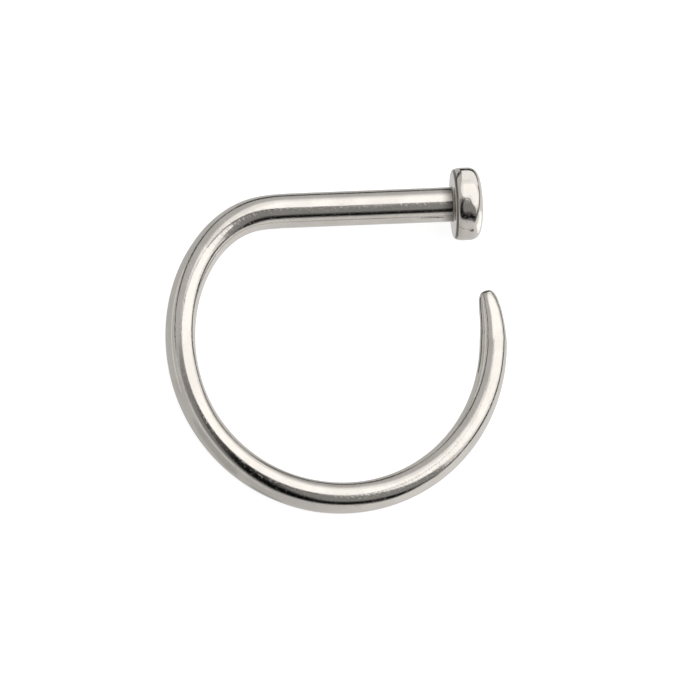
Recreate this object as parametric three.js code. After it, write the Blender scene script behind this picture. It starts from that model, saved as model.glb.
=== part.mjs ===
// A D-ring nostril piercing of polished steel: a straight post with a domed button head
// at its front end, bent at the back into a round, open hoop. The hoop passes under the
// post, narrows along its last third and ends in a blunt nose below the head.
// Millimetres, +Z up. The ring lies on its side on a flat surface with its post along X,
// and the origin is the middle of its bounding box, at the surface.
//
// It is made the way the real one is: first turned as a straight blank, then bent. The
// blank stands along Y, from the middle of the head's crown to the end of the nose, and
// `along` is a distance on it measured from the head's back face.
import * as THREE from 'three';
import { mergeVertices } from 'three/addons/utils/BufferGeometryUtils.js';

// The head: a flat back face with a soft rim, a short upright wall and a full, domed crown.
// The wall is measured from the back face, and the rim falls away over the back of it.
const HEAD_DIAMETER = 2.1;
const HEAD_WALL = 0.375;
const CROWN_HEIGHT = 0.465;
const RIM_DEPTH = 0.25;
const RIM_DROP = 0.115;
const NECK_FILLET = 0.06;

// The post: the straight, thicker part that passes through the piercing.
const POST_DIAMETER = 1.0;
const POST_LENGTH = 4.42;

// The bend at the back of the post, through which the wire thins down to the hoop's.
const BEND_LENGTH = 3.11;
const BEND_TURN = THREE.MathUtils.degToRad(51.8);

// The hoop, measured on the middle of the wire.
const HOOP_RADIUS = 4.62;
const HOOP_TURN = THREE.MathUtils.degToRad(231);
const HOOP_WIRE_DIAMETER = 0.87;
const NOSE_LENGTH = 0.36;

// How full the two round ends are: 2 is an ellipse, and more is squarer.
const CROWN_FULLNESS = 3.35;
const NOSE_FULLNESS = 2.9;

// How sharply the wire turns, in shares of the stretch's own mean, at shares of its length.
// In the bend it also thins, from the post's diameter (0) to the hoop wire's (1), and
// along the hoop its thickness changes a little, in shares of the hoop wire's diameter.
const BEND_COURSE = [
  { share: 0, turn: 0, thinned: 0 },
  { share: 0.25, turn: 0.44, thinned: 0.04 },
  { share: 0.45, turn: 1.71, thinned: 0.3 },
  { share: 0.7, turn: 1.36, thinned: 0.7 },
  { share: 1, turn: 0.95, thinned: 1 },
];
const HOOP_COURSE = [
  { share: 0, turn: 1.236, thickness: 1 },
  { share: 0.12, turn: 0.926, thickness: 0.995 },
  { share: 0.3, turn: 1.009, thickness: 0.985 },
  { share: 0.5, turn: 1.017, thickness: 1.05 },
  { share: 0.7, turn: 1.067, thickness: 0.98 },
  { share: 0.86, turn: 0.963, thickness: 0.93 },
  { share: 0.92, turn: 0.893, thickness: 0.905 },
  { share: 0.97, turn: 0.827, thickness: 0.74 },
  { share: 1, turn: 0.791, thickness: 0.54 },
];

// How finely the blank is divided, round it and along it.
const SIDES = 24;
const CROWN_STEPS = 7;
const RIM_STEPS = 4;
const FILLET_STEPS = 3;
const POST_STEPS = 5;
const BEND_STEPS = 16;
const HOOP_STEPS = 62;
const NOSE_STEPS = 8;

// The course's fine steps, and the widest lean tried when the ring is laid down.
const COURSE_STEPS = 4000;
const WIDEST_LEAN = 0.3;
const LEAN_TRIES = 45;

const HOOP_LENGTH = HOOP_RADIUS * HOOP_TURN;
const BEND_END = POST_LENGTH + BEND_LENGTH;
const WIRE_END = BEND_END + HOOP_LENGTH;
const NOSE_START = WIRE_END - NOSE_LENGTH;

// The value of one column of a table at a share, on straight lines between its rows.
function read(table, column, share) {
  const next = table.findIndex((row) => row.share >= share);
  if (next === -1) return table[table.length - 1][column];
  if (next === 0) return table[0][column];
  const from = table[next - 1];
  const to = table[next];
  return THREE.MathUtils.mapLinear(share, from.share, to.share, from[column], to[column]);
}

// The mean of a column over the whole table.
function mean(table, column) {
  let total = 0;
  for (let i = 1; i < table.length; i++) {
    const width = table[i].share - table[i - 1].share;
    total += (width * (table[i][column] + table[i - 1][column])) / 2;
  }
  return total;
}

// Half the width of a rounded end, as a share of its root, from its root (0) to its tip (1).
function roundEnd(share, fullness) {
  return Math.pow(1 - Math.pow(share, fullness), 1 / fullness);
}

// The angle that the wire turns per millimetre.
function turnPerMillimetre(along) {
  if (along <= POST_LENGTH) return 0;
  if (along <= BEND_END) {
    const share = (along - POST_LENGTH) / BEND_LENGTH;
    const turn = read(BEND_COURSE, 'turn', share) / mean(BEND_COURSE, 'turn');
    return (turn * BEND_TURN) / BEND_LENGTH;
  }
  const share = (along - BEND_END) / HOOP_LENGTH;
  return read(HOOP_COURSE, 'turn', share) / mean(HOOP_COURSE, 'turn') / HOOP_RADIUS;
}

// The bent wire's middle line, in the ring's own plane: place and heading at even steps.
// It starts at the head's back face and runs along -X, so that the hoop turns below it.
function bentCourse() {
  const step = WIRE_END / COURSE_STEPS;
  const course = [{ x: 0, y: 0, heading: Math.PI }];
  for (let i = 1; i <= COURSE_STEPS; i++) {
    const last = course[i - 1];
    const turn = turnPerMillimetre((i - 0.5) * step) * step;
    const middle = last.heading + turn / 2;
    course.push({
      x: last.x + Math.cos(middle) * step,
      y: last.y + Math.sin(middle) * step,
      heading: last.heading + turn,
    });
  }
  return course;
}

// The wire's radius behind the head.
function wireRadius(along) {
  if (along <= BEND_END) {
    const thinned = read(BEND_COURSE, 'thinned', (along - POST_LENGTH) / BEND_LENGTH);
    return THREE.MathUtils.lerp(POST_DIAMETER, HOOP_WIRE_DIAMETER, thinned) / 2;
  }
  const share = (along - BEND_END) / HOOP_LENGTH;
  return (read(HOOP_COURSE, 'thickness', share) * HOOP_WIRE_DIAMETER) / 2;
}

// The head's half outline, from the middle of its crown to the post.
function headOutline() {
  const outline = [];
  for (let i = 0; i <= CROWN_STEPS; i++) {
    const rise = Math.cos((i / CROWN_STEPS) * (Math.PI / 2));
    const radius = (roundEnd(rise, CROWN_FULLNESS) * HEAD_DIAMETER) / 2;
    outline.push(new THREE.Vector2(radius, -HEAD_WALL - rise * CROWN_HEIGHT));
  }
  outline[0].x = 0;
  for (let i = 0; i <= RIM_STEPS; i++) {
    const angle = (i / RIM_STEPS) * (Math.PI / 2);
    const radius = HEAD_DIAMETER / 2 - RIM_DROP * (1 - Math.cos(angle));
    outline.push(new THREE.Vector2(radius, -RIM_DEPTH * (1 - Math.sin(angle))));
  }
  for (let i = 0; i <= FILLET_STEPS; i++) {
    const angle = (i / FILLET_STEPS) * (Math.PI / 2);
    const radius = POST_DIAMETER / 2 + NECK_FILLET * (1 - Math.sin(angle));
    outline.push(new THREE.Vector2(radius, NECK_FILLET * (1 - Math.cos(angle))));
  }
  return outline;
}

// One stretch of the wire's half outline, without its first point.
function wireOutline(start, end, steps) {
  const outline = [];
  for (let i = 1; i <= steps; i++) {
    const along = THREE.MathUtils.lerp(start, end, i / steps);
    outline.push(new THREE.Vector2(wireRadius(along), along));
  }
  return outline;
}

// The nose's half outline, from the end of the full wire to the axis.
function noseOutline() {
  const outline = [];
  for (let i = 1; i <= NOSE_STEPS; i++) {
    const share = Math.sin((i / NOSE_STEPS) * (Math.PI / 2));
    const along = NOSE_START + share * NOSE_LENGTH;
    outline.push(new THREE.Vector2(wireRadius(along) * roundEnd(share, NOSE_FULLNESS), along));
  }
  outline[NOSE_STEPS - 1].x = 0;
  return outline;
}

// The straight blank, turned round Y.
function straightBlank() {
  const outline = [
    ...headOutline(),
    ...wireOutline(NECK_FILLET, POST_LENGTH, POST_STEPS),
    ...wireOutline(POST_LENGTH, BEND_END, BEND_STEPS),
    ...wireOutline(BEND_END, NOSE_START, HOOP_STEPS),
    ...noseOutline(),
  ];
  return new THREE.LatheGeometry(outline, SIDES);
}

// The blank bent along the course: each point keeps its distance from the middle line.
function bend(blank, course) {
  const points = blank.getAttribute('position');
  for (let i = 0; i < points.count; i++) {
    const along = points.getY(i);
    const side = points.getX(i);
    const place = placeOn(course, along);
    const x = place.x + Math.sin(place.heading) * side;
    const y = place.y - Math.cos(place.heading) * side;
    points.setXY(i, x, y);
  }
}

// The middle line's place and heading at a distance along it. The head lies before its start.
function placeOn(course, along) {
  if (along <= 0) return { x: -along, y: 0, heading: course[0].heading };
  const step = WIRE_END / COURSE_STEPS;
  const index = Math.min(Math.floor(along / step), COURSE_STEPS - 1);
  const share = along / step - index;
  const from = course[index];
  const to = course[index + 1];
  return {
    x: THREE.MathUtils.lerp(from.x, to.x, share),
    y: THREE.MathUtils.lerp(from.y, to.y, share),
    heading: THREE.MathUtils.lerp(from.heading, to.heading, share),
  };
}

// The merged surface as plain corners and faces, without the empty faces at its two ends.
function closedSurface(geometry) {
  geometry.deleteAttribute('normal');
  geometry.deleteAttribute('uv');
  const merged = mergeVertices(geometry, 1e-4);
  const index = merged.getIndex();
  const faces = [];
  for (let i = 0; i < index.count; i += 3) {
    const [a, b, c] = [index.getX(i), index.getX(i + 1), index.getX(i + 2)];
    if (a !== b && b !== c && c !== a) faces.push(a, b, c);
  }
  merged.setIndex(faces);
  return merged;
}

// The centre of mass of a closed surface, from the tetrahedra between its faces and zero.
function centreOfMass(geometry) {
  const points = geometry.getAttribute('position');
  const index = geometry.getIndex();
  const corners = [new THREE.Vector3(), new THREE.Vector3(), new THREE.Vector3()];
  const centre = new THREE.Vector3();
  let volume = 0;
  for (let i = 0; i < index.count; i += 3) {
    corners.forEach((corner, k) => corner.fromBufferAttribute(points, index.getX(i + k)));
    const [a, b, c] = corners;
    const part = a.dot(b.clone().cross(c)) / 6;
    volume += part;
    centre.add(a.clone().add(b).add(c).multiplyScalar(part / 4));
  }
  return centre.divideScalar(volume);
}

// The value between two limits where a valley-shaped function is lowest.
function lowest(height, low, high) {
  for (let i = 0; i < LEAN_TRIES; i++) {
    const third = (high - low) / 3;
    if (height(low + third) < height(high - third)) high -= third;
    else low += third;
  }
  return (low + high) / 2;
}

// The direction that points up when the ring has come to rest on its side: the one for
// which its centre of mass is as near to the surface as it can get.
function upAtRest(geometry) {
  const points = geometry.getAttribute('position');
  const centre = centreOfMass(geometry);
  const corner = new THREE.Vector3();
  const heightWith = (leanX, leanY) => {
    const up = new THREE.Vector3(leanX, leanY, 1).normalize();
    let reach = 0;
    for (let i = 0; i < points.count; i++) {
      corner.fromBufferAttribute(points, i);
      reach = Math.max(reach, centre.dot(up) - corner.dot(up));
    }
    return reach;
  };
  const bestY = (leanX) => lowest((y) => heightWith(leanX, y), -WIDEST_LEAN, WIDEST_LEAN);
  const leanX = lowest((x) => heightWith(x, bestY(x)), -WIDEST_LEAN, WIDEST_LEAN);
  return new THREE.Vector3(leanX, bestY(leanX), 1).normalize();
}

// The ring, laid on its side with its lowest points at height zero.
function ringMesh() {
  const blank = straightBlank();
  bend(blank, bentCourse());
  const geometry = closedSurface(blank);
  geometry.computeVertexNormals();
  const steel = new THREE.MeshStandardMaterial({ color: 0xc6c2bb, roughness: 0.2, metalness: 1 });
  const mesh = new THREE.Mesh(geometry, steel);
  mesh.name = 'd_ring';
  mesh.quaternion.setFromUnitVectors(upAtRest(geometry), new THREE.Vector3(0, 0, 1));
  const box = new THREE.Box3().setFromObject(mesh, true);
  const middle = box.getCenter(new THREE.Vector3());
  mesh.position.set(-middle.x, -middle.y, -box.min.z);
  return mesh;
}

const piercing = new THREE.Group();
piercing.add(ringMesh());

export default piercing;
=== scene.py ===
"""The looks of a D-ring nostril piercing: polished steel, lying on its side on a pale floor.

The ring is made the way the real one is. A straight blank is turned first, with its domed
head, its post and its long tapering wire, and the blank is then bent along its course and
laid down. Sizes are in metres, in the part's own frame, with the part's own numbers.
"""
import logging
import math
from dataclasses import dataclass
from enum import Enum
from typing import Callable, Sequence

import bmesh
import bpy
from bmesh.types import BMesh
from bpy.types import Node, NodeSocket, NodeTree, Object
from mathutils import Matrix, Vector


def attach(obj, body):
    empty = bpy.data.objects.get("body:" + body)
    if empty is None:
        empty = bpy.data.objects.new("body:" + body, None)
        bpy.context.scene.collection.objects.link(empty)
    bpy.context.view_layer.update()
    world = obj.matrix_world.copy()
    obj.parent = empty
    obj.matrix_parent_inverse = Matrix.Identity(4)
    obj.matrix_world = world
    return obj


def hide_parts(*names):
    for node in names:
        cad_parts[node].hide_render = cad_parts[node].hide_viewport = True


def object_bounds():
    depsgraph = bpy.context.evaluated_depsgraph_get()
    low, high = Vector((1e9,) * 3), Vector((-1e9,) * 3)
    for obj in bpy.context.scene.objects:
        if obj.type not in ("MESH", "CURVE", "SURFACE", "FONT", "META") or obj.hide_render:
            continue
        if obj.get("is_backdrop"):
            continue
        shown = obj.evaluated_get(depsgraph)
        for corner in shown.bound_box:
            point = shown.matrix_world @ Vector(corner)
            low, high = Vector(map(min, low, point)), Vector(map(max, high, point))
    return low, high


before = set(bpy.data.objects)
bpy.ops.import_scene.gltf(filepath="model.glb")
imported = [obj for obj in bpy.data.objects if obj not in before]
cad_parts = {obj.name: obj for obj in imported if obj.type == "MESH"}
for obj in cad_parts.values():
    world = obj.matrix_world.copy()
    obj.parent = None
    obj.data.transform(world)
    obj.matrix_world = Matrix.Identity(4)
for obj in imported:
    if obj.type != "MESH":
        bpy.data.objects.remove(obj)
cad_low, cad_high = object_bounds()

log = logging.getLogger("d_ring")

MM = 0.001
ROOT_BODY = "root"
RING_NODE = "d_ring"
STEEL_SLOT = "polished_steel"
BLANK_PLACE = "blank"

# The direction in the ring's own plane frame that points up once it has come to rest.
REST_UP = Vector((0.05438, 0.03236, 0.998))


@dataclass(frozen=True)
class CourseRow:
    """How sharply the wire turns at a share of a stretch of it."""

    share: float
    turn: float


@dataclass(frozen=True)
class BendRow(CourseRow):
    """A row of the bend's table, with how far the wire has thinned."""

    thinned: float


@dataclass(frozen=True)
class HoopRow(CourseRow):
    """A row of the hoop's table, with how thick the wire is."""

    thickness: float


def read_rows(rows: Sequence[CourseRow], column: str, share: float) -> float:
    """Reads one column of a table on straight lines between its rows.

    Args:
        rows: The table, in rising order of share.
        column: The name of the column.
        share: Where to read it, from 0 to 1.

    Returns:
        The column's value there, held at the table's ends.
    """
    if share <= rows[0].share:
        return getattr(rows[0], column)
    for start, end in zip(rows, rows[1:]):
        if share <= end.share:
            part = (share - start.share) / (end.share - start.share)
            return lerp(getattr(start, column), getattr(end, column), part)
    return getattr(rows[-1], column)


def mean_of(rows: Sequence[CourseRow], column: str) -> float:
    """Finds the mean of one column over a whole table.

    Args:
        rows: The table, in rising order of share.
        column: The name of the column.

    Returns:
        The mean, with each stretch weighed by its length.
    """
    total = 0.0
    for start, end in zip(rows, rows[1:]):
        middle = (getattr(start, column) + getattr(end, column)) / 2
        total += (end.share - start.share) * middle
    return total


def lerp(start: float, end: float, part: float) -> float:
    """Returns the value that lies a part of the way from start to end."""
    return start + (end - start) * part


def round_end(share: float, fullness: float) -> float:
    """Shapes a rounded end.

    Args:
        share: How far along the end, from its root (0) to its tip (1).
        fullness: 2 is an ellipse, and more is squarer.

    Returns:
        Half the width there, as a share of the width at the root.
    """
    return max(0.0, 1 - share**fullness) ** (1 / fullness)


@dataclass(frozen=True)
class Head:
    """The button head: a flat back face, a rounded rim, a short wall and a full crown."""

    diameter: float = 2.1 * MM
    wall: float = 0.375 * MM
    crown_height: float = 0.465 * MM
    crown_fullness: float = 3.35
    rim_depth: float = 0.25 * MM
    rim_drop: float = 0.115 * MM
    neck_fillet: float = 0.06 * MM
    crown_cuts: int = 27
    wall_cuts: int = 3
    rim_cuts: int = 11
    round_segments: int = 6
    face_inset: float = 0.02 * MM

    def crown_point(self, part: float) -> Vector:
        """Finds a point of the crown's half outline.

        Args:
            part: How far along the outline, from the apex (0) to the wall (1).

        Returns:
            The point, with its distance from the axis in x and along the blank in y.
        """
        rise = math.cos(part * math.pi / 2)
        radius = round_end(rise, self.crown_fullness) * self.diameter / 2
        return Vector((radius, -self.wall - rise * self.crown_height, 0))

    def rim_point(self, part: float) -> Vector:
        """Finds a point of the rounded rim's half outline, a quarter of an ellipse.

        Args:
            part: How far along the outline, from the wall (0) to the back face (1).

        Returns:
            The point, with its distance from the axis in x and along the blank in y.
        """
        angle = part * math.pi / 2
        radius = self.diameter / 2 - self.rim_drop * (1 - math.cos(angle))
        return Vector((radius, -self.rim_depth * (1 - math.sin(angle)), 0))


@dataclass(frozen=True)
class Post:
    """The straight, thicker part that passes through the piercing."""

    diameter: float = 1.0 * MM
    length: float = 4.42 * MM
    cuts: int = 15


@dataclass(frozen=True)
class Bend:
    """The bend at the back of the post, through which the wire thins down to the hoop's."""

    length: float = 3.11 * MM
    turn: float = math.radians(51.8)
    cuts: int = 79
    course: tuple[BendRow, ...] = (
        BendRow(0, 0, 0),
        BendRow(0.25, 0.44, 0.04),
        BendRow(0.45, 1.71, 0.3),
        BendRow(0.7, 1.36, 0.7),
        BendRow(1, 0.95, 1),
    )


@dataclass(frozen=True)
class Hoop:
    """The open hoop and its blunt nose, measured on the middle of the wire."""

    radius: float = 4.62 * MM
    turn: float = math.radians(231)
    wire_diameter: float = 0.87 * MM
    nose_length: float = 0.36 * MM
    nose_fullness: float = 2.9
    cuts: int = 339
    nose_cuts: int = 27
    course: tuple[HoopRow, ...] = (
        HoopRow(0, 1.236, 1),
        HoopRow(0.12, 0.926, 0.995),
        HoopRow(0.3, 1.009, 0.985),
        HoopRow(0.5, 1.017, 1.05),
        HoopRow(0.7, 1.067, 0.98),
        HoopRow(0.86, 0.963, 0.93),
        HoopRow(0.92, 0.893, 0.905),
        HoopRow(0.97, 0.827, 0.74),
        HoopRow(1, 0.791, 0.54),
    )

    @property
    def length(self) -> float:
        """The hoop's length on the middle of the wire, nose included."""
        return self.radius * self.turn


@dataclass(frozen=True)
class CoursePoint:
    """A place on the wire's middle line, in the ring's own plane, and the heading there."""

    x: float
    y: float
    heading: float


@dataclass(frozen=True)
class Ring:
    """The whole ring, from the middle of its crown to the end of its nose."""

    head: Head = Head()
    post: Post = Post()
    bend: Bend = Bend()
    hoop: Hoop = Hoop()
    sides: int = 96
    course_steps: int = 4000
    merge_distance: float = 1e-7
    slack: float = 1e-6

    @property
    def bend_end(self) -> float:
        """Where the bend meets the hoop, along the blank."""
        return self.post.length + self.bend.length

    @property
    def wire_end(self) -> float:
        """Where the nose ends, along the blank."""
        return self.bend_end + self.hoop.length

    @property
    def nose_start(self) -> float:
        """Where the nose begins to close, along the blank."""
        return self.wire_end - self.hoop.nose_length

    def wire_radius(self, along: float) -> float:
        """Finds the wire's radius behind the head.

        Args:
            along: A distance from the head's back face.

        Returns:
            The radius there, before the nose is rounded.
        """
        if along <= self.bend_end:
            share = (along - self.post.length) / self.bend.length
            thinned = read_rows(self.bend.course, "thinned", share)
            return lerp(self.post.diameter, self.hoop.wire_diameter, thinned) / 2
        share = (along - self.bend_end) / self.hoop.length
        return read_rows(self.hoop.course, "thickness", share) * self.hoop.wire_diameter / 2

    def nose_point(self, part: float) -> Vector:
        """Finds a point of the nose's half outline.

        Args:
            part: How far along the outline, from the full wire (0) to the tip (1).

        Returns:
            The point, with its distance from the axis in x and along the blank in y.
        """
        share = math.sin(part * math.pi / 2)
        along = self.nose_start + share * self.hoop.nose_length
        radius = self.wire_radius(along) * round_end(share, self.hoop.nose_fullness)
        return Vector((radius if part < 1 else 0, along, 0))

    def turn_rate(self, along: float) -> float:
        """Finds how sharply the wire turns.

        Args:
            along: A distance from the head's back face.

        Returns:
            The angle turned per metre there.
        """
        if along <= self.post.length:
            return 0.0
        if along <= self.bend_end:
            rows = self.bend.course
            share = (along - self.post.length) / self.bend.length
            turn = read_rows(rows, "turn", share) / mean_of(rows, "turn")
            return turn * self.bend.turn / self.bend.length
        rows = self.hoop.course
        share = (along - self.bend_end) / self.hoop.length
        return read_rows(rows, "turn", share) / mean_of(rows, "turn") / self.hoop.radius

    def bent_course(self) -> list[CoursePoint]:
        """Follows the wire's middle line from the head's back face, heading along -X.

        Returns:
            Places and headings at even steps.
        """
        step = self.wire_end / self.course_steps
        course = [CoursePoint(0.0, 0.0, math.pi)]
        for i in range(self.course_steps):
            last = course[-1]
            turn = self.turn_rate((i + 0.5) * step) * step
            middle = last.heading + turn / 2
            x = last.x + math.cos(middle) * step
            y = last.y + math.sin(middle) * step
            course.append(CoursePoint(x, y, last.heading + turn))
        return course

    def place_on(self, course: Sequence[CoursePoint], along: float) -> CoursePoint:
        """Finds a place on the course.

        Args:
            course: The wire's middle line at even steps.
            along: A distance from the head's back face; the head lies before zero.

        Returns:
            The place there, and the heading.
        """
        if along <= 0:
            return CoursePoint(-along, 0.0, course[0].heading)
        steps = along / (self.wire_end / self.course_steps)
        index = min(int(steps), self.course_steps - 1)
        start, end = course[index], course[index + 1]
        part = steps - index
        return CoursePoint(
            lerp(start.x, end.x, part),
            lerp(start.y, end.y, part),
            lerp(start.heading, end.heading, part),
        )

    def draw_outline(self, bm: BMesh) -> None:
        """Draws the blank's half outline as a few corners, cuts its stretches and shapes them.

        Args:
            bm: The empty mesh that gets the outline, with the blank's axis along Y.
        """
        head_radius = self.head.diameter / 2
        post_radius = self.post.diameter / 2
        corners = [
            Vector((0, -self.head.wall - self.head.crown_height, 0)),
            Vector((head_radius, -self.head.wall, 0)),
            Vector((head_radius, -self.head.rim_depth, 0)),
            Vector((head_radius - self.head.rim_drop, 0, 0)),
            Vector((post_radius, 0, 0)),
            Vector((post_radius, self.post.length, 0)),
            Vector((self.wire_radius(self.bend_end), self.bend_end, 0)),
            Vector((self.wire_radius(self.nose_start), self.nose_start, 0)),
            Vector((0, self.wire_end, 0)),
        ]
        verts = [bm.verts.new(corner) for corner in corners]
        edges = [bm.edges.new(pair) for pair in zip(verts, verts[1:])]
        crown, wall, rim, _, post, bend, hoop, nose = edges
        cut_and_shape(bm, crown, self.head.crown_cuts, self.head.crown_point)
        cut_and_shape(bm, wall, self.head.wall_cuts)
        cut_and_shape(bm, rim, self.head.rim_cuts, self.head.rim_point)
        cut_and_shape(bm, post, self.post.cuts)
        cut_and_shape(bm, bend, self.bend.cuts, self.wire_point(self.post.length, self.bend_end))
        cut_and_shape(bm, hoop, self.hoop.cuts, self.wire_point(self.bend_end, self.nose_start))
        cut_and_shape(bm, nose, self.hoop.nose_cuts, self.nose_point)

    def wire_point(self, start: float, end: float) -> Callable[[float], Vector]:
        """Makes the outline of a stretch of wire.

        Args:
            start: Where the stretch begins, along the blank.
            end: Where it ends.

        Returns:
            A function that gives the outline's point at a part of the stretch.
        """

        def point(part: float) -> Vector:
            """Returns the outline's point at a part of the stretch."""
            along = lerp(start, end, part)
            return Vector((self.wire_radius(along), along, 0))

        return point

    def turn_blank(self, bm: BMesh) -> None:
        """Turns the outline into the closed straight blank, and rounds its neck.

        Args:
            bm: The mesh that holds the outline.
        """
        bmesh.ops.spin(
            bm,
            geom=bm.verts[:] + bm.edges[:],
            cent=(0, 0, 0),
            axis=(0, 1, 0),
            angle=math.tau,
            steps=self.sides,
            use_merge=True,
            use_duplicate=False,
        )
        bmesh.ops.remove_doubles(bm, verts=bm.verts[:], dist=self.merge_distance)
        self.round_neck(bm)
        self.frame_back_face(bm)
        bmesh.ops.recalc_face_normals(bm, faces=bm.faces[:])

    def round_neck(self, bm: BMesh) -> None:
        """Fills the sharp corner where the post leaves the head's back face with a fillet.

        Args:
            bm: The turned blank.
        """
        radius = self.post.diameter / 2
        corner = [
            edge
            for edge in bm.edges
            if self.on_back_face(edge)
            and all(abs(math.hypot(v.co.x, v.co.z) - radius) < self.slack for v in edge.verts)
        ]
        bmesh.ops.bevel(
            bm,
            geom=corner,
            offset=self.head.neck_fillet,
            offset_type="OFFSET",
            segments=self.head.round_segments,
            profile=0.5,
            affect="EDGES",
            material=-1,
        )

    def frame_back_face(self, bm: BMesh) -> None:
        """Insets the flat back face, so that its shading stays flat between its two roundings."""
        flat = [face for face in bm.faces if self.on_back_face(face)]
        inset = self.head.face_inset
        bmesh.ops.inset_region(bm, faces=flat, thickness=inset, use_even_offset=True)

    def on_back_face(self, element: bmesh.types.BMEdge | bmesh.types.BMFace) -> bool:
        """Tells whether an edge or a face of the blank lies in the head's back face."""
        return all(abs(vert.co.y) < self.slack for vert in element.verts)

    def mark_blank(self, bm: BMesh) -> None:
        """Keeps each point's place on the straight blank, in millimetres, for the finish."""
        layer = bm.verts.layers.float_vector.new(BLANK_PLACE)
        for vert in bm.verts:
            vert[layer] = vert.co / MM

    def bend_blank(self, bm: BMesh) -> None:
        """Bends the blank: each point keeps its distance from the middle line."""
        course = self.bent_course()
        for vert in bm.verts:
            place = self.place_on(course, vert.co.y)
            side = vert.co.x
            vert.co.x = place.x + math.sin(place.heading) * side
            vert.co.y = place.y - math.cos(place.heading) * side

    def lay_down(self, bm: BMesh) -> Matrix:
        """Lays the ring on its side, over the origin and with its lowest point at zero.

        Args:
            bm: The bent ring.

        Returns:
            The placement that took the ring from its own plane to the floor.
        """
        turn = REST_UP.rotation_difference(Vector((0, 0, 1))).to_matrix().to_4x4()
        bmesh.ops.transform(bm, matrix=turn, verts=bm.verts[:])
        low = Vector([min(v.co[axis] for v in bm.verts) for axis in range(3)])
        high = Vector([max(v.co[axis] for v in bm.verts) for axis in range(3)])
        middle = (low + high) / 2
        shift = Matrix.Translation((-middle.x, -middle.y, -low.z))
        bmesh.ops.transform(bm, matrix=shift, verts=bm.verts[:])
        return shift @ turn

    def build(self, steel: "PolishedSteel") -> tuple[Object, Matrix]:
        """Builds the ring and dresses it.

        Args:
            steel: The finish of the whole ring.

        Returns:
            The ring's object, and the placement from its own plane to the floor.
        """
        bm = bmesh.new()
        self.draw_outline(bm)
        self.turn_blank(bm)
        self.mark_blank(bm)
        self.bend_blank(bm)
        placement = self.lay_down(bm)
        for face in bm.faces:
            face.smooth = True
        ring = new_object("ring", bm)
        ring.data.materials.append(steel.material())
        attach(ring, ROOT_BODY)
        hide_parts(RING_NODE)
        return ring, placement


def cut_and_shape(
    bm: BMesh,
    edge: bmesh.types.BMEdge,
    cuts: int,
    shape: Callable[[float], Vector] | None = None,
) -> None:
    """Cuts one stretch of an outline evenly and moves the new points onto a curve.

    Args:
        bm: The mesh that holds the outline.
        edge: The stretch, drawn from its start to its end.
        cuts: How many points are put into it.
        shape: The curve, as a function of the part from start (0) to end (1).
    """
    start, end = (vert.co.copy() for vert in edge.verts)
    made = bmesh.ops.subdivide_edges(bm, edges=[edge], cuts=cuts)
    if shape is None:
        return
    span = end - start
    for vert in made["geom_inner"]:
        part = (vert.co - start).dot(span) / span.length_squared
        vert.co = shape(part)


def new_object(name: str, bm: BMesh) -> Object:
    """Makes an object of a finished mesh, at the origin.

    Args:
        name: The object's name.
        bm: The mesh, which is freed.

    Returns:
        The new object, in the scene.
    """
    mesh = bpy.data.meshes.new(name)
    bm.to_mesh(mesh)
    bm.free()
    made = bpy.data.objects.new(name, mesh)
    bpy.context.scene.collection.objects.link(made)
    return made


def fill_outline(bm: BMesh, points: Sequence[Vector]) -> None:
    """Fills the closed outline through some points with one face."""
    verts = [bm.verts.new(point) for point in points]
    edges = [bm.edges.new(pair) for pair in zip(verts, verts[1:] + verts[:1])]
    bmesh.ops.edgeloop_fill(bm, edges=edges)


@dataclass(frozen=True)
class NoiseLook:
    """How fine a soft noise is, and the range of it in which a mark starts to show."""

    detail: float
    span: tuple[float, float]
    roughness: float = 0.5


DIMPLES = NoiseLook(1.5, (0.39, 0.31), 0.6)
HAIRLINES = NoiseLook(1.0, (0.62, 0.74))
PATCHES = NoiseLook(2.0, (0.35, 0.65))

# Where the painted shade at the neck and along the rim's edge fades, in shares of their own
# lengths; the head's side is negative.
NECK_FADE = (1.0, 0.0)
EDGE_START = (-1.0, -0.6)
EDGE_END = (-0.04, -0.25)
# The short step with which the neck and the tip's cap begin, in millimetres.
SOFT_STEP = (0.0, 0.02)


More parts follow.
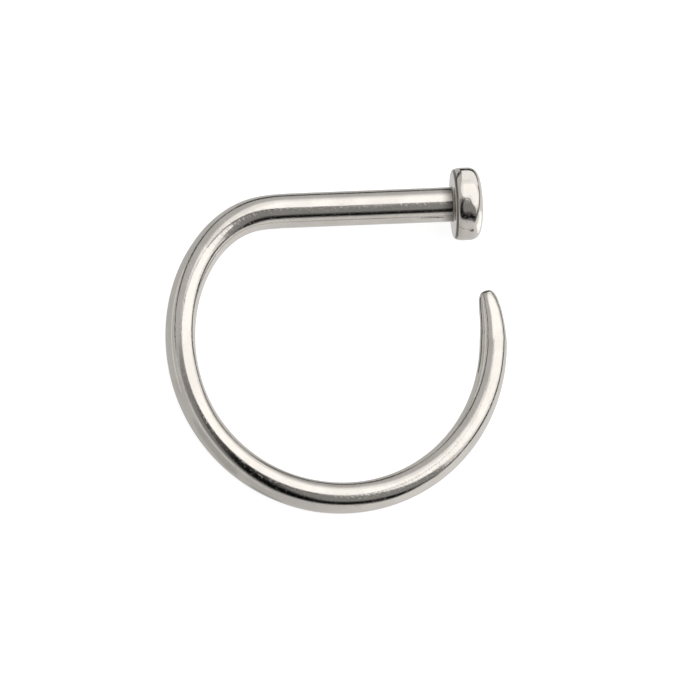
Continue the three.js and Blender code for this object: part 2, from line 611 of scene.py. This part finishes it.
class NodeSheet:
    """A node tree with short ways to add its nodes and join them."""

    def __init__(self, tree: NodeTree) -> None:
        """Takes the tree that the nodes go into."""
        self.tree = tree

    def add(self, kind: str, label: str, **settings: object) -> Node:
        """Adds a node.

        Args:
            kind: The node's type name.
            label: A plain name for it.
            settings: The node's own settings.

        Returns:
            The node.
        """
        node = self.tree.nodes.new(kind)
        node.label = label
        for name, value in settings.items():
            setattr(node, name, value)
        return node

    def join(self, source: NodeSocket, target: NodeSocket) -> None:
        """Links one socket to another."""
        self.tree.links.new(source, target)

    def maths(self, operation: str, label: str, *values: object) -> NodeSocket:
        """Adds a maths node.

        Args:
            operation: What it works out.
            label: A plain name for it.
            values: Its inputs, as sockets or numbers.

        Returns:
            The result's socket.
        """
        node = self.add("ShaderNodeMath", label, operation=operation)
        for socket, value in zip(node.inputs, values):
            self.feed(value, socket)
        return node.outputs[0]

    def ranged(
        self,
        label: str,
        value: NodeSocket,
        span: tuple[float, float],
        becomes: tuple[float, float] = (0.0, 1.0),
    ) -> NodeSocket:
        """Adds a smooth change from one range of numbers to another.

        Args:
            label: A plain name for it.
            value: The number that is changed.
            span: The range in which it changes.
            becomes: What the two ends of the range become.

        Returns:
            The result's socket.
        """
        node = self.add("ShaderNodeMapRange", label, interpolation_type="SMOOTHSTEP")
        self.join(value, node.inputs["Value"])
        limits = ("From Min", "From Max", "To Min", "To Max")
        for name, limit in zip(limits, (*span, *becomes)):
            node.inputs[name].default_value = limit
        return node.outputs["Result"]

    def noise(
        self,
        place: NodeSocket,
        across: NodeSocket,
        lengthwise: NodeSocket,
        look: NoiseLook,
    ) -> NodeSocket:
        """Adds a soft noise on the blank.

        Args:
            place: The place on the blank, in millimetres.
            across: How many marks there are to a millimetre across the wire.
            lengthwise: The same along the wire.
            look: How fine the noise is.

        Returns:
            The socket of the noise's strength.
        """
        size = self.add("ShaderNodeCombineXYZ", "marks per mm")
        for index, value in enumerate((across, lengthwise, across)):
            self.join(value, size.inputs[index])
        scaled = self.add("ShaderNodeVectorMath", "in marks", operation="MULTIPLY")
        self.join(place, scaled.inputs[0])
        self.join(size.outputs[0], scaled.inputs[1])
        node = self.add("ShaderNodeTexNoise", "marks", noise_dimensions="3D")
        node.inputs["Scale"].default_value = 1.0
        node.inputs["Detail"].default_value = look.detail
        node.inputs["Roughness"].default_value = look.roughness
        self.join(scaled.outputs[0], node.inputs["Vector"])
        return node.outputs["Fac"]

    def tinted(self, label: str, first: object, second: object, share: NodeSocket) -> NodeSocket:
        """Mixes two colours.

        Args:
            label: A plain name for the mix.
            first: A colour or a colour's socket.
            second: The other one.
            share: How much of the second there is.

        Returns:
            The mixed colour's socket.
        """
        node = self.add("ShaderNodeMix", label, data_type="RGBA")
        for name, value in (("A", first), ("B", second), ("Factor", share)):
            self.feed(value, node.inputs[name])
        return node.outputs["Result"]

    def feed(self, value: object, socket: NodeSocket) -> None:
        """Gives a socket a value, or joins another socket to it."""
        if isinstance(value, NodeSocket):
            self.join(value, socket)
        else:
            socket.default_value = value

    def finish(self, kind: str, surface: NodeSocket) -> None:
        """Adds the tree's last node and gives it the surface."""
        self.join(surface, self.add(kind, "out").inputs["Surface"])


def fresh_sheet(owner: bpy.types.Material | bpy.types.World) -> NodeSheet:
    """Clears the nodes of a new material or world and opens its sheet."""
    owner.use_nodes = True
    owner.node_tree.nodes.clear()
    return NodeSheet(owner.node_tree)


def new_group(
    name: str, numbers: dict[str, float], gives: Sequence[str]
) -> tuple[NodeSheet, Node, Node]:
    """Starts a shared shader node group that takes a place on the blank.

    Args:
        name: The group's name.
        numbers: The names of its other inputs, with the usual number of each.
        gives: The names of the numbers that it gives.

    Returns:
        The sheet for its nodes, its input node and its output node.
    """
    tree = bpy.data.node_groups.new(name, "ShaderNodeTree")
    tree.interface.new_socket("Place", in_out="INPUT", socket_type="NodeSocketVector")
    for label, usual in numbers.items():
        socket = tree.interface.new_socket(label, in_out="INPUT", socket_type="NodeSocketFloat")
        socket.default_value = usual
    for label in gives:
        tree.interface.new_socket(label, in_out="OUTPUT", socket_type="NodeSocketFloat")
    sheet = NodeSheet(tree)
    return sheet, sheet.add("NodeGroupInput", "in"), sheet.add("NodeGroupOutput", "out")


class PolishGroups:
    """The shared effects of a polishing shop and the painted shade at the corners, each built once
    as a node group.
    """

    def __init__(self) -> None:
        """Builds the groups."""
        self.grain = self.build_grain()
        self.hairlines = self.build_hairlines()
        self.patches = self.build_patches()
        self.corners = self.build_shade_and_dark_tip()

    @staticmethod
    def build_grain() -> NodeTree:
        """Builds the fine grain that tumbling leaves: small soft dimples, a little drawn out.

        Returns:
            The group, which gives the height with its sparse pits and a mask of those pits.
        """
        sheet, taken, given = new_group(
            "tumbled_grain", {"Dimple": 0.04, "Drawn": 1.6, "Pits": -1.0}, ("Height", "Dimples")
        )
        per_mm = sheet.maths("DIVIDE", "dimples per mm", 1.0, taken.outputs["Dimple"])
        lengthwise = sheet.maths("DIVIDE", "fewer lengthwise", per_mm, taken.outputs["Drawn"])
        noise = sheet.noise(taken.outputs["Place"], per_mm, lengthwise, DIMPLES)
        deep = sheet.ranged("deeper ones", noise, DIMPLES.span)
        sheet.join(deep, given.inputs["Dimples"])
        pitted = sheet.maths("MULTIPLY_ADD", "pitted", deep, taken.outputs["Pits"], noise)
        sheet.join(pitted, given.inputs["Height"])
        return sheet.tree

    @staticmethod
    def build_hairlines() -> NodeTree:
        """Builds the hairlines that a mop leaves along the wire.

        Returns:
            The group, which gives a height and a mask of the lines.
        """
        sheet, taken, given = new_group(
            "mop_hairlines", {"Line": 0.03, "Length": 1.4}, ("Height", "Lines")
        )
        across = sheet.maths("DIVIDE", "lines per mm", 1.0, taken.outputs["Line"])
        lengthwise = sheet.maths("DIVIDE", "lengths per mm", 1.0, taken.outputs["Length"])
        noise = sheet.noise(taken.outputs["Place"], across, lengthwise, HAIRLINES)
        sheet.join(noise, given.inputs["Height"])
        lines = sheet.ranged("clear lines", noise, HAIRLINES.span)
        sheet.join(lines, given.inputs["Lines"])
        return sheet.tree

    @staticmethod
    def build_patches() -> NodeTree:
        """Builds the wide, soft patches where the polish took a little more or less.

        Returns:
            The group, which gives how much the polish took.
        """
        sheet, taken, given = new_group("polish_patches", {"Patch": 0.7}, ("Polish",))
        per_mm = sheet.maths("DIVIDE", "patches per mm", 1.0, taken.outputs["Patch"])
        noise = sheet.noise(taken.outputs["Place"], per_mm, per_mm, PATCHES)
        polish = sheet.ranged("more or less", noise, PATCHES.span)
        sheet.join(polish, given.inputs["Polish"])
        return sheet.tree

    @staticmethod
    def build_shade_and_dark_tip() -> NodeTree:
        """Builds the mask of painted shade at the neck, next to the head, and along the rim's edge,
        and of the darkened cap of the tip.

        Returns:
            The group, which gives how dark each corner is painted.
        """
        sheet, taken, given = new_group(
            "painted_shade_and_dark_tip", {"Neck": 0.4, "Edge": 0.1, "Tip": 26.0}, ("Darkened",)
        )
        parts = sheet.add("ShaderNodeSeparateXYZ", "along the blank")
        sheet.join(taken.outputs["Place"], parts.inputs[0])
        along = parts.outputs["Y"]
        near_neck = sheet.maths("DIVIDE", "share of the neck", along, taken.outputs["Neck"])
        fading = sheet.ranged("fading along the post", near_neck, NECK_FADE)
        behind = sheet.ranged("behind the head", along, SOFT_STEP)
        neck = sheet.maths("MULTIPLY", "neck", fading, behind)
        near_edge = sheet.maths("DIVIDE", "share of the edge", along, taken.outputs["Edge"])
        starting = sheet.ranged("edge starts", near_edge, EDGE_START)
        ending = sheet.ranged("edge ends", near_edge, EDGE_END)
        edge = sheet.maths("MULTIPLY", "edge", starting, ending)
        past_tip = sheet.maths("SUBTRACT", "past the tip's cap", along, taken.outputs["Tip"])
        tip = sheet.ranged("cap of the tip", past_tip, SOFT_STEP)
        # Painted shade at the neck and the rim's edge, with the tip's darkened cap, joined into one
        # mask.
        corner = sheet.maths("MAXIMUM", "neck or edge", neck, edge)
        dull = sheet.maths("MAXIMUM", "dull", corner, tip)
        sheet.join(dull, given.inputs["Darkened"])
        return sheet.tree


@dataclass(frozen=True)
class PolishedSteel:
    """Surgical steel, tumbled and mopped to a warm grey mirror with a very fine grain.

    The sizes of its marks are in millimetres; so are the neck and the edge, where shade is painted
    into the base colour, and the tip, where the nose's darkened cap begins along the blank.
    """

    groups: PolishGroups
    bright: tuple[float, float, float] = (0.6, 0.57, 0.532)
    dull: tuple[float, float, float] = (0.56, 0.53, 0.492)
    # The colour of the painted shade at the neck and the rim's edge, and of the tip's darkened cap.
    corner: tuple[float, float, float] = (0.17, 0.158, 0.142)
    neck: float = 0.42
    edge: float = 0.09
    tip: float = 26.06
    roughest: float = 0.11
    smoothest: float = 0.075
    dimple: float = 0.042
    drawn_out: float = 1.6
    pits: float = -0.8
    line: float = 0.03
    line_length: float = 1.4
    patch: float = 0.8
    speck_roughness: float = 0.12
    line_roughness: float = 0.05
    grain_height: float = 0.0011
    line_height: float = 0.0004

    def material(self) -> bpy.types.Material:
        """Mixes the finish.

        Returns:
            The material, which reads each point's place on the straight blank.
        """
        made = bpy.data.materials.new(STEEL_SLOT)
        sheet = fresh_sheet(made)
        groups = self.groups
        place = sheet.add("ShaderNodeAttribute", "place on it", attribute_name=BLANK_PLACE)
        grain = self.effect(
            sheet, groups.grain, place, Dimple=self.dimple, Drawn=self.drawn_out, Pits=self.pits
        )
        lines = self.effect(sheet, groups.hairlines, place, Line=self.line, Length=self.line_length)
        patches = self.effect(sheet, groups.patches, place, Patch=self.patch)
        corners = self.effect(
            sheet, groups.corners, place, Neck=self.neck, Edge=self.edge, Tip=self.tip
        )

        shader = sheet.add("ShaderNodeBsdfPrincipled", "steel")
        shader.inputs["Metallic"].default_value = 1.0
        polish = patches.outputs["Polish"]
        tone = sheet.tinted("tone", (*self.dull, 1), (*self.bright, 1), polish)
        # Painted shade: the base colour darkens towards the corner colour at the neck, along the
        # rim's edge and at the tip's cap.
        dull = corners.outputs["Darkened"]
        whole = sheet.tinted("tone with its corners", tone, (*self.corner, 1), dull)
        sheet.join(whole, shader.inputs["Base Color"])

        rough = sheet.ranged("roughness", polish, (0.0, 1.0), (self.roughest, self.smoothest))
        lined = sheet.maths(
            "MULTIPLY_ADD", "rougher lines", lines.outputs["Lines"], self.line_roughness, rough
        )
        specked = sheet.maths(
            "MULTIPLY_ADD", "rough specks", grain.outputs["Dimples"], self.speck_roughness, lined
        )
        sheet.join(specked, shader.inputs["Roughness"])

        fine = self.bump(sheet, "grain", grain.outputs["Height"], self.grain_height * MM)
        both = self.bump(sheet, "hairlines", lines.outputs["Height"], self.line_height * MM)
        sheet.join(fine.outputs["Normal"], both.inputs["Normal"])
        sheet.join(both.outputs["Normal"], shader.inputs["Normal"])
        sheet.finish("ShaderNodeOutputMaterial", shader.outputs["BSDF"])
        return made

    @staticmethod
    def effect(sheet: NodeSheet, group: NodeTree, place: Node, **sizes: float) -> Node:
        """Places a shared effect in the material.

        Args:
            sheet: The material's node sheet.
            group: The effect.
            place: The node that gives each point's place.
            sizes: The effect's own numbers, with sizes in millimetres.

        Returns:
            The group's node.
        """
        node = sheet.add("ShaderNodeGroup", group.name, node_tree=group)
        sheet.join(place.outputs["Vector"], node.inputs["Place"])
        for name, size in sizes.items():
            node.inputs[name].default_value = size
        return node

    @staticmethod
    def bump(sheet: NodeSheet, label: str, height: NodeSocket, distance: float) -> Node:
        """Adds a bump of a real height.

        Args:
            sheet: The material's node sheet.
            label: A plain name for it.
            height: Where it stands up, from 0 to 1.
            distance: How high it stands, in metres.

        Returns:
            The bump's node.
        """
        node = sheet.add("ShaderNodeBump", label)
        node.inputs["Strength"].default_value = 1.0
        node.inputs["Distance"].default_value = distance
        sheet.join(height, node.inputs["Height"])
        return node


@dataclass(frozen=True)
class PhotoView:
    """Where the photograph was taken from, and the three directions that it gives."""

    yaw: float = math.radians(5.4)
    pitch: float = math.radians(10.3)
    roll: float = math.radians(2.29)
    side_px: int = 700
    px_per_mm: float = 34.7
    head_px: tuple[float, float] = (452.6, 204.3)
    distance: float = 600 * MM
    sensor: float = 36.0
    nearest: float = 5 * MM
    farthest: float = 5000 * MM

    def axes(self, placement: Matrix) -> Matrix:
        """Finds the photograph's directions in the part's frame.

        Args:
            placement: The ring's placement from its own plane to the floor.

        Returns:
            A matrix whose columns point right, up and towards the camera.
        """
        toward = Vector((-math.sin(self.yaw), -math.sin(self.pitch), 0))
        toward.z = math.sqrt(1 - toward.length_squared)
        right = (Vector((1, 0, 0)) - toward * toward.x).normalized()
        up = toward.cross(right)
        level = Matrix.Rotation(-self.roll, 3, "Z")
        turned = [placement.to_3x3() @ (level @ axis) for axis in (right, up, toward)]
        return Matrix(turned).transposed()

    def target(self, placement: Matrix) -> Vector:
        """Finds the point that the middle of the photograph shows.

        Args:
            placement: The ring's placement, which puts the head's back face at its origin.

        Returns:
            The point, in the plane of the head's back face.
        """
        right, up, _ = (self.axes(placement).col[i] for i in range(3))
        middle = self.side_px / 2
        across = (middle - self.head_px[0]) / self.px_per_mm * MM
        rise = (self.head_px[1] - middle) / self.px_per_mm * MM
        return placement.translation + right * across + up * rise

    def build(self, placement: Matrix) -> Object:
        """Makes the camera.

        Args:
            placement: The ring's placement.

        Returns:
            The camera, set as the scene's own.
        """
        axes = self.axes(placement)
        data = bpy.data.cameras.new("photo_view")
        data.sensor_width = self.sensor
        data.lens = self.sensor * self.distance / (self.side_px / self.px_per_mm * MM)
        data.clip_start = self.nearest
        data.clip_end = self.farthest
        camera = bpy.data.objects.new("photo_view", data)
        place = axes.to_4x4()
        place.translation = self.target(placement) + axes.col[2] * self.distance
        camera.matrix_world = place
        bpy.context.scene.collection.objects.link(camera)
        bpy.context.scene.camera = camera
        return camera


class Light(Enum):
    """How bright the things round the ring are, as it mirrors them."""

    LAMP = 1.7
    EDGE = 1.38
    HALO = 1.03
    PALE = 0.98
    HAZE = 0.56
    SHADE = 0.35
    CARD = 0.34
    DUSK = 0.12
    GAP = 0.09
    FLAG = 0.005


@dataclass(frozen=True)
class Card:
    """A flat card or lamp, drawn by the directions in which the ring sees its corners.

    Each corner is in degrees to the right of and above the way to the camera.
    """

    name: str
    light: Light
    distance: float
    corners: tuple[tuple[float, float], ...]

    def build(self, sky: "Sky") -> Object:
        """Makes the card.

        Args:
            sky: The directions round the ring.

        Returns:
            The card's object.
        """
        bm = bmesh.new()
        fill_outline(bm, [sky.point(corner, self.distance) for corner in self.corners])
        bmesh.ops.triangulate(bm, faces=bm.faces[:], ngon_method="EAR_CLIP")
        return sky.hang(self.name, bm, self.light, self.distance)


@dataclass(frozen=True)
class Strip:
    """A long narrow card, drawn by its middle line in the same directions."""

    name: str
    light: Light
    distance: float
    width: float
    course: tuple[tuple[float, float], ...]

    def build(self, sky: "Sky") -> Object:
        """Makes the strip.

        Args:
            sky: The directions round the ring.

        Returns:
            The strip's object.
        """
        bm = bmesh.new()
        sides = []
        for sign in (-1, 1):
            points = [sky.point(p, self.distance) for p in self.offset(sign * self.width / 2)]
            verts = [bm.verts.new(point) for point in points]
            sides += [bm.edges.new(pair) for pair in zip(verts, verts[1:])]
        bmesh.ops.bridge_loops(bm, edges=sides)
        return sky.hang(self.name, bm, self.light, self.distance)

    def offset(self, shift: float) -> list[tuple[float, float]]:
        """Draws a line beside the strip's middle line.

        Args:
            shift: How far beside it, in degrees.

        Returns:
            The line's corners.
        """
        line = []
        for i, (x, y) in enumerate(self.course):
            before = self.course[max(i - 1, 0)]
            after = self.course[min(i + 1, len(self.course) - 1)]
            run, rise = after[0] - before[0], after[1] - before[1]
            length = math.hypot(run, rise)
            line.append((x - rise / length * shift, y + run / length * shift))
        return line


@dataclass(frozen=True)
class NearCard:
    """A small card close to the ring, drawn by its corners' places.

    Each corner is in millimetres right of, above and in front of the middle of the view.
    """

    name: str
    light: Light
    corners: tuple[tuple[float, float, float], ...]

    def build(self, sky: "Sky") -> Object:
        """Makes the card, which only the ring mirrors.

        Args:
            sky: The directions round the ring.

        Returns:
            The card's object.
        """
        bm = bmesh.new()
        fill_outline(bm, [sky.near_point(corner) for corner in self.corners])
        card = sky.dress(self.name, bm, self.light)
        card.visible_diffuse = False
        return card


@dataclass(frozen=True)
class Sky:
    """The directions round the ring, on which lamps and cards are hung."""

    axes: Matrix
    centre: Vector
    curving: int = 7

    def point(self, direction: tuple[float, float], distance: float) -> Vector:
        """Finds a point round the ring.

        Args:
            direction: Degrees to the right of and above the way to the camera.
            distance: How far away it is.

        Returns:
            The point.
        """
        across, rise = (math.radians(angle) for angle in direction)
        angle = math.hypot(across, rise)
        part = math.sin(angle) / angle if angle else 1.0
        local = Vector((across * part, rise * part, math.cos(angle)))
        return self.centre + self.axes @ local * distance

    def near_point(self, place: tuple[float, float, float]) -> Vector:
        """Finds a point close to the ring, from its place in millimetres."""
        return self.centre + self.axes @ Vector(place) * MM

    def hang(
        self, name: str, bm: BMesh, light: Light, distance: float
    ) -> Object:
        """Curves a card round the ring and hangs it.

        Args:
            name: The card's name.
            bm: Its flat mesh.
            light: How bright it is.
            distance: How far from the ring it hangs.

        Returns:
            The card's object.
        """
        bmesh.ops.subdivide_edges(bm, edges=bm.edges[:], cuts=self.curving, use_grid_fill=True)
        for vert in bm.verts:
            vert.co = self.centre + (vert.co - self.centre).normalized() * distance
        return self.dress(name, bm, light)

    def dress(self, name: str, bm: BMesh, light: Light) -> Object:
        """Makes a finished card glow, and hides it from the camera.

        Args:
            name: The card's name.
            bm: Its mesh.
            light: How bright it is.

        Returns:
            The card's object.
        """
        card = new_object(name, bm)
        card.data.materials.append(self.glow(name, light))
        card.visible_camera = False
        card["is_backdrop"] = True
        return card

    @staticmethod
    def glow(name: str, light: Light) -> bpy.types.Material:
        """Makes an evenly glowing material.

        Args:
            name: Its name.
            light: How bright it is.

        Returns:
            The material.
        """
        made = bpy.data.materials.new(name)
        sheet = fresh_sheet(made)
        glow = sheet.add("ShaderNodeEmission", "glow")
        glow.inputs["Color"].default_value = (1, 1, 1, 1)
        glow.inputs["Strength"].default_value = light.value
        sheet.finish("ShaderNodeOutputMaterial", glow.outputs[0])
        return made


@dataclass(frozen=True)
class Floor:
    """A plain pale floor, lit from below too, which takes only a faint shadow."""

    half_side: float = 0.8
    paper: float = 0.45
    under_light: float = 0.84

    def build(self) -> None:
        """Makes the floor, which the ring doesn't mirror."""
        bm = bmesh.new()
        bmesh.ops.create_grid(bm, x_segments=1, y_segments=1, size=self.half_side)
        floor = new_object("floor", bm)
        made = bpy.data.materials.new("pale_paper")
        sheet = fresh_sheet(made)
        paper = sheet.add("ShaderNodeBsdfDiffuse", "paper")
        paper.inputs["Color"].default_value = (self.paper, self.paper, self.paper, 1)
        below = sheet.add("ShaderNodeEmission", "light from below")
        below.inputs["Strength"].default_value = self.under_light
        both = sheet.add("ShaderNodeAddShader", "both")
        sheet.join(paper.outputs[0], both.inputs[0])
        sheet.join(below.outputs[0], both.inputs[1])
        sheet.finish("ShaderNodeOutputMaterial", both.outputs[0])
        floor.data.materials.append(made)
        floor.visible_glossy = False
        floor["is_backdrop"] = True


@dataclass(frozen=True)
class Room:
    """The pale room round the ring: grey to the left, lighter to the right and behind.

    What the ring mirrors twice, from one part of itself in another, is lit a little more.
    """

    dim: float = 0.69
    light: float = 1.04
    lean: tuple[float, float, float] = (1.0, -0.35, -0.1)
    span: tuple[float, float] = (-0.1, 1.0)
    more_when_twice: float = 0.8
    once_or_twice: float = 1.5

    def build(self, axes: Matrix) -> None:
        """Makes the room's light, as the scene's world.

        Args:
            axes: The photograph's directions.
        """
        world = bpy.data.worlds.new("room")
        sheet = fresh_sheet(world)
        toward_light = (axes @ Vector(self.lean)).normalized()
        way = sheet.add("ShaderNodeTexCoord", "direction")
        lean = sheet.add("ShaderNodeVectorMath", "lighter side", operation="DOT_PRODUCT")
        sheet.join(way.outputs["Generated"], lean.inputs[0])
        lean.inputs[1].default_value = toward_light
        level = sheet.ranged("walls", lean.outputs["Value"], self.span, (self.dim, self.light))
        ray = sheet.add("ShaderNodeLightPath", "seen or mirrored")
        depth = ray.outputs["Glossy Depth"]
        twice = sheet.maths("GREATER_THAN", "mirrored twice", depth, self.once_or_twice)
        share = sheet.maths("MULTIPLY_ADD", "share of the light", twice, self.more_when_twice, 1.0)
        strength = sheet.maths("MULTIPLY", "light of the walls", level, share)
        walls = sheet.add("ShaderNodeBackground", "walls")
        walls.inputs["Color"].default_value = (1, 1, 1, 1)
        sheet.join(strength, walls.inputs["Strength"])
        plain = sheet.add("ShaderNodeBackground", "plain backdrop")
        plain.inputs["Color"].default_value = (1, 1, 1, 1)
        mix = sheet.add("ShaderNodeMixShader", "room")
        sheet.join(ray.outputs["Is Camera Ray"], mix.inputs[0])
        sheet.join(walls.outputs[0], mix.inputs[1])
        sheet.join(plain.outputs[0], mix.inputs[2])
        sheet.finish("ShaderNodeOutputWorld", mix.outputs[0])
        bpy.context.scene.world = world


@dataclass(frozen=True)
class Studio:
    """The lamps and cards that the ring mirrors, hung behind the camera and round the ring."""

    cards: tuple[Card | Strip | NearCard, ...] = (
        Card("lamp", Light.LAMP, 0.40, (
            (12, 21), (6, 23.5), (1, 28), (2, 44), (4, 56), (8, 66), (24, 68), (36, 66), (50, 62),
            (62, 50), (78, 38), (90, 26), (80, 6), (60, -2), (42, -7), (30, -5), (23, -2), (17, 6),
            (14, 15),
        )),
        Card("lamp_edge", Light.EDGE, 0.42, (
            (9, 20.5), (3, 22.5), (-4, 28), (-10, 35.5), (-11, 47), (-8, 58), (-5, 64), (3, 75),
            (22, 77), (38, 75), (50, 68), (63, 54), (82, 42), (97, 30), (92, 10), (82, -3),
            (64, -11), (50, -13), (36, -9), (25, -7), (16, -1), (11, 8),
        )),
        Card("lamp_halo", Light.HALO, 0.44, (
            (8, 19.5), (0, 22), (-8, 29), (-13, 37), (-14, 48), (-12, 60), (-9, 69), (0, 83),
            (22, 86), (42, 89), (53, 73), (67, 57), (86, 46), (102, 32), (98, 10), (86, -6),
            (66, -15), (52, -17), (38, -13), (25, -10), (14, -3), (9, 8),
        )),
        Card("grey_card", Light.CARD, 0.36, (
            (10.3, 21.5), (-5, 19.5), (-19, 16.5), (-29, 12), (-32, -9), (-30, -29), (-20, -47),
            (-6, -51), (12, -54), (20, -59), (36, -62), (45, -54), (50, -46), (58, -48), (56, -38),
            (49, -28), (40, -14), (33, -7), (25, -5), (20, -1.5), (16.5, 5), (13.6, 11),
            (12.2, 17), (11.6, 21),
        )),
        Card("flag_edge", Light.DUSK, 0.35, (
            (8, 19), (0, 15.5), (-10, 9), (-17, 0), (-23, -14), (-24, -28), (-18, -41), (-6, -47),
            (14, -50), (36, -58), (44, -50), (47, -43), (54, -44), (50, -37), (34, -34), (22, -30),
            (14, -25), (4, -22), (1, -8), (3, 3), (8, 14),
        )),
        Card("flag", Light.FLAG, 0.34, (
            (5, 15.5), (-1, 10), (-6, 5), (-11, 0), (-18, -9), (-21, -22), (-17, -35), (-11, -42),
            (12, -46), (26, -50), (38, -53), (42, -44), (30, -38), (15, -33), (4, -30), (-1, -20),
            (-3, -9), (-1, 2), (4, 11),
        )),
        Card("left_haze", Light.HAZE, 0.43, (
            (-82, -44), (-74, -30), (-52, -17), (-45, -28), (-46, -50), (-58, -70), (-74, -92),
            (-84, -90), (-80, -66),
        )),
        Strip("left_shade", Light.DUSK, 0.38, 8, ((-40, 15), (-45, 22), (-49, 33), (-55, 48))),
        Strip("upper_gap", Light.GAP, 0.38, 10, (
            (-54, 46), (-57, 66), (-51, 79), (-43, 90), (-35, 98),
        )),
        Strip("top_gap", Light.GAP, 0.38, 16, (
            (-37, 96), (-27, 105), (-3, 120), (20, 121), (38, 115), (50, 108),
        )),
        Strip("right_gap", Light.GAP, 0.38, 12, (
            (48, 109), (52, 107), (66, 87), (85, 67), (103, 50), (115, 34), (105, 20), (99, 8),
            (91, -4), (80, -14), (66, -22), (53, -37), (47, -45),
        )),
        Strip("lower_gap", Light.SHADE, 0.37, 10, ((-64, -101), (-54, -114), (-44, -123))),
        Strip("near_reed", Light.PALE, 0.37, 4, (
            (-52, 26), (-44, 10), (-41, -4), (-39, -16), (-36, -32), (-31, -52), (-28, -62),
        )),
        Strip("far_reed", Light.PALE, 0.37, 9, ((-70, 50), (-69, 36), (-70, 12), (-68, -10))),
        NearCard("head_lamp", Light.EDGE, (
            (3.2, 7.3, 1.2), (7.8, 7.3, 1.2), (7.8, 7.3, -1.5), (3.2, 7.3, -1.5),
        )),
        NearCard("head_gap", Light.FLAG, (
            (3.0, 7.3, -1.5), (7.8, 7.3, -1.5), (7.8, 7.3, -3.2), (3.0, 7.3, -3.2),
        )),
        NearCard("inner_gap", Light.GAP, (
            (2.6, -0.3, 0.44), (2.97, 1.8, 0.35), (2.97, 1.8, 0), (2.6, -0.3, 0),
        )),
        NearCard("head_glow", Light.LAMP, (
            (4.9, 3.85, 0.7), (4.3, 2.7, 0.7), (4.3, 2.7, -0.7), (4.9, 3.85, -0.7),
        )),
    )

    def build(self, sky: Sky) -> None:
        """Hangs every card.

        Args:
            sky: The directions round the ring.
        """
        for card in self.cards:
            made = card.build(sky)
            log.info("hung %s: %d faces", made.name, len(made.data.polygons))


def keep_sizes() -> None:
    """Measures the dressed ring's box against the part's box, and reports the difference."""
    low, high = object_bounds()
    growth = max(max(cad_low - low), max(high - cad_high))
    log.info("the ring stands %.4f mm outside the part's box", growth / MM)


def main() -> None:
    """Builds the ring, the camera and the studio, in that order."""
    logging.basicConfig(level=logging.INFO, format="%(name)s: %(message)s")
    bpy.context.scene.view_settings.view_transform = "Standard"
    ring, placement = Ring().build(PolishedSteel(PolishGroups()))
    log.info("%s: %d faces", ring.name, len(ring.data.polygons))
    view = PhotoView()
    camera = view.build(placement)
    log.info("%s: a %.0f mm lens", camera.name, camera.data.lens)
    axes = view.axes(placement)
    Studio().build(Sky(axes, view.target(placement)))
    Floor().build()
    Room().build(axes)
    keep_sizes()


if __name__ == "__main__":
    main()
